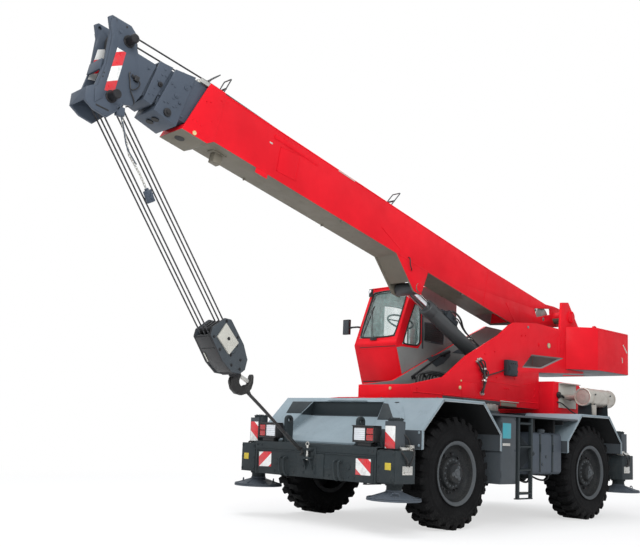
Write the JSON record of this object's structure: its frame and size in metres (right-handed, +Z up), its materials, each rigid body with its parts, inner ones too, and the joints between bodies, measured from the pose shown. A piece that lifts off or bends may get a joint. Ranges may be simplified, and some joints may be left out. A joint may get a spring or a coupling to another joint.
{
  "type": "rough-terrain mobile crane",
  "caption": "Two-axle rough-terrain mobile crane: cab and telescopic boom on a slewing turntable, lift cylinder, steered wheels, outriggers with jacks, hook block on rope falls.",
  "frame": {"origin": "on the ground under the slewing axis", "axes": "+Z up, -Y to the front of the carrier and along the parked boom, +X to the carrier's left"},
  "size_m": [2.96, 9.6607, 5.002],
  "materials": {
    "red_paint": "gloss",
    "carrier_paint": "semi-gloss",
    "slate_paint": "semi-gloss",
    "dark_paint": "satin",
    "rim_paint": "satin",
    "bare_steel": "brushed",
    "engine_iron": "matte",
    "muffler_steel": "satin",
    "dark_iron": "satin",
    "wire_rope": "greased",
    "chromed_rod": "polished",
    "window_glass": "tinted",
    "seat_fabric": "woven",
    "black_plastic": "matte",
    "tyre_rubber": "matte"
  },
  "bodies": {
    "carrier": {"chassis_frame": "carrier_paint", "slew_ring": "bare_steel", "deck_plates": "carrier_paint", "front_hood": "carrier_paint", "fenders": "carrier_paint", "engine_hood": "red_paint", "engine_block": "engine_iron", "muffler": "muffler_steel", "fuel_tank": "carrier_paint", "hydraulic_tank": "carrier_paint", "storage_boxes": "carrier_paint", "ladders": "dark_paint", "lamp_clusters": "dark_paint", "front_outrigger_box": "dark_paint", "rear_outrigger_box": "dark_paint", "front_axle": "dark_paint", "rear_axle": "dark_paint"},
    "turntable": {"turntable_frame": "red_paint", "counterweight": "red_paint", "cab_shell": "red_paint", "cab_glass": "window_glass", "seat": "seat_fabric", "steering_column": "black_plastic", "cab_mirror": "black_plastic"},
    "cab_door": {"cab_door": "red_paint", "door_glass": "window_glass"},
    "boom_base": {"boom_base": "red_paint"},
    "winch_drum": {"winch_drum": "bare_steel"},
    "boom_section_2": {"boom_section_2": "slate_paint"},
    "boom_section_3": {"boom_section_3": "slate_paint"},
    "boom_tip": {"boom_section_4": "slate_paint", "boom_head": "slate_paint", "head_sheaves": "dark_iron", "rope_falls": "wire_rope"},
    "hook_block": {"hook_block": "dark_iron", "hook": "dark_iron"},
    "lift_barrel": {"lift_barrel": "dark_paint"},
    "lift_rod": {"lift_rod": "chromed_rod"},
    "knuckle_front_left": {"knuckle_front_left": "dark_paint"},
    "wheel_front_left": {"rim_front_left": "rim_paint", "tyre_front_left": "tyre_rubber"},
    "outrigger_beam_front_left": {"outrigger_beam_front_left": "dark_paint"},
    "jack_front_left": {"jack_front_left": "dark_paint"},
    "knuckle_front_right": {"knuckle_front_right": "dark_paint"},
    "wheel_front_right": {"rim_front_right": "rim_paint", "tyre_front_right": "tyre_rubber"},
    "outrigger_beam_front_right": {"outrigger_beam_front_right": "dark_paint"},
    "jack_front_right": {"jack_front_right": "dark_paint"},
    "knuckle_rear_left": {"knuckle_rear_left": "dark_paint"},
    "wheel_rear_left": {"rim_rear_left": "rim_paint", "tyre_rear_left": "tyre_rubber"},
    "outrigger_beam_rear_left": {"outrigger_beam_rear_left": "dark_paint"},
    "jack_rear_left": {"jack_rear_left": "dark_paint"},
    "knuckle_rear_right": {"knuckle_rear_right": "dark_paint"},
    "wheel_rear_right": {"rim_rear_right": "rim_paint", "tyre_rear_right": "tyre_rubber"},
    "outrigger_beam_rear_right": {"outrigger_beam_rear_right": "dark_paint"},
    "jack_rear_right": {"jack_rear_right": "dark_paint"}
  },
  "joints": [
    {"name": "slew", "type": "hinge", "parent": "carrier", "child": "turntable", "pos_m": [0, 0, 1.52], "axis": [0, 0, 1], "continuous": true},
    {"name": "boom_lift", "type": "hinge", "parent": "turntable", "child": "boom_base", "pos_m": [0, 2.35, 2.99], "axis": [-1, 0, 0], "range_deg": [-12.8, 60]},
    {"name": "telescope_2", "type": "slide", "parent": "boom_base", "child": "boom_section_2", "axis": [0, -0.9751, 0.2215], "range_m": [0, 4.4]},
    {"name": "telescope_3", "type": "slide", "parent": "boom_section_2", "child": "boom_section_3", "axis": [0, -0.9751, 0.2215], "range_m": [0, 4.4]},
    {"name": "telescope_4", "type": "slide", "parent": "boom_section_3", "child": "boom_tip", "axis": [0, -0.9751, 0.2215], "range_m": [0, 4.4]},
    {"name": "hoist", "type": "slide", "parent": "boom_tip", "child": "hook_block", "axis": [0, 0.5821, -0.8131], "range_m": [-1.3, 0], "deforming": ["rope_falls"]},
    {"name": "winch_spin", "type": "hinge", "parent": "boom_base", "child": "winch_drum", "pos_m": [0, 1.9994, 2.93634], "axis": [1, 0, 0], "continuous": true},
    {"name": "barrel_tilt", "type": "hinge", "parent": "turntable", "child": "lift_barrel", "pos_m": [0, 1.3, 1.85], "axis": [-1, 0, 0], "range_deg": [-13, 58]},
    {"name": "rod_extend", "type": "slide", "parent": "lift_barrel", "child": "lift_rod", "axis": [0, -0.9012, 0.4335], "range_m": [-0.34, 1.55]},
    {"name": "cab_door_hinge", "type": "hinge", "parent": "turntable", "child": "cab_door", "pos_m": [-1.264, 0.56, 2.3], "axis": [0, 0, -1], "range_deg": [0, 85]},
    {"name": "steer_front_left", "type": "hinge", "parent": "carrier", "child": "knuckle_front_left", "pos_m": [0.74, -1.55, 0.65], "axis": [0, 0, 1], "range_deg": [-25, 25]},
    {"name": "wheel_spin_front_left", "type": "hinge", "parent": "knuckle_front_left", "child": "wheel_front_left", "pos_m": [1.02, -1.55, 0.65], "axis": [1, 0, 0], "continuous": true},
    {"name": "outrigger_slide_front_left", "type": "slide", "parent": "carrier", "child": "outrigger_beam_front_left", "axis": [1, 0, 0], "range_m": [0, 1.6]},
    {"name": "jack_slide_front_left", "type": "slide", "parent": "outrigger_beam_front_left", "child": "jack_front_left", "axis": [0, 0, -1], "range_m": [0, 0.45]},
    {"name": "steer_front_right", "type": "hinge", "parent": "carrier", "child": "knuckle_front_right", "pos_m": [-0.74, -1.55, 0.65], "axis": [0, 0, 1], "range_deg": [-25, 25]},
    {"name": "wheel_spin_front_right", "type": "hinge", "parent": "knuckle_front_right", "child": "wheel_front_right", "pos_m": [-1.02, -1.55, 0.65], "axis": [1, 0, 0], "continuous": true},
    {"name": "outrigger_slide_front_right", "type": "slide", "parent": "carrier", "child": "outrigger_beam_front_right", "axis": [-1, 0, 0], "range_m": [0, 1.6]},
    {"name": "jack_slide_front_right", "type": "slide", "parent": "outrigger_beam_front_right", "child": "jack_front_right", "axis": [0, 0, -1], "range_m": [0, 0.45]},
    {"name": "steer_rear_left", "type": "hinge", "parent": "carrier", "child": "knuckle_rear_left", "pos_m": [0.74, 1.55, 0.65], "axis": [0, 0, 1], "range_deg": [-25, 25]},
    {"name": "wheel_spin_rear_left", "type": "hinge", "parent": "knuckle_rear_left", "child": "wheel_rear_left", "pos_m": [1.02, 1.55, 0.65], "axis": [1, 0, 0], "continuous": true},
    {"name": "outrigger_slide_rear_left", "type": "slide", "parent": "carrier", "child": "outrigger_beam_rear_left", "axis": [1, 0, 0], "range_m": [0, 1.6]},
    {"name": "jack_slide_rear_left", "type": "slide", "parent": "outrigger_beam_rear_left", "child": "jack_rear_left", "axis": [0, 0, -1], "range_m": [0, 0.45]},
    {"name": "steer_rear_right", "type": "hinge", "parent": "carrier", "child": "knuckle_rear_right", "pos_m": [-0.74, 1.55, 0.65], "axis": [0, 0, 1], "range_deg": [-25, 25]},
    {"name": "wheel_spin_rear_right", "type": "hinge", "parent": "knuckle_rear_right", "child": "wheel_rear_right", "pos_m": [-1.02, 1.55, 0.65], "axis": [1, 0, 0], "continuous": true},
    {"name": "outrigger_slide_rear_right", "type": "slide", "parent": "carrier", "child": "outrigger_beam_rear_right", "axis": [-1, 0, 0], "range_m": [0, 1.6]},
    {"name": "jack_slide_rear_right", "type": "slide", "parent": "outrigger_beam_rear_right", "child": "jack_rear_right", "axis": [0, 0, -1], "range_m": [0, 0.45]}
  ],
  "couplings": [
    {"joint": "barrel_tilt", "follows": "boom_lift", "ratio": 0.95},
    {"joint": "rod_extend", "follows": "boom_lift", "m_per_rad": 1.47},
    {"joint": "telescope_3", "follows": "telescope_2", "ratio": 1},
    {"joint": "telescope_4", "follows": "telescope_2", "ratio": 1},
    {"joint": "steer_front_right", "follows": "steer_front_left", "ratio": 1},
    {"joint": "steer_rear_right", "follows": "steer_rear_left", "ratio": 1}
  ]
}
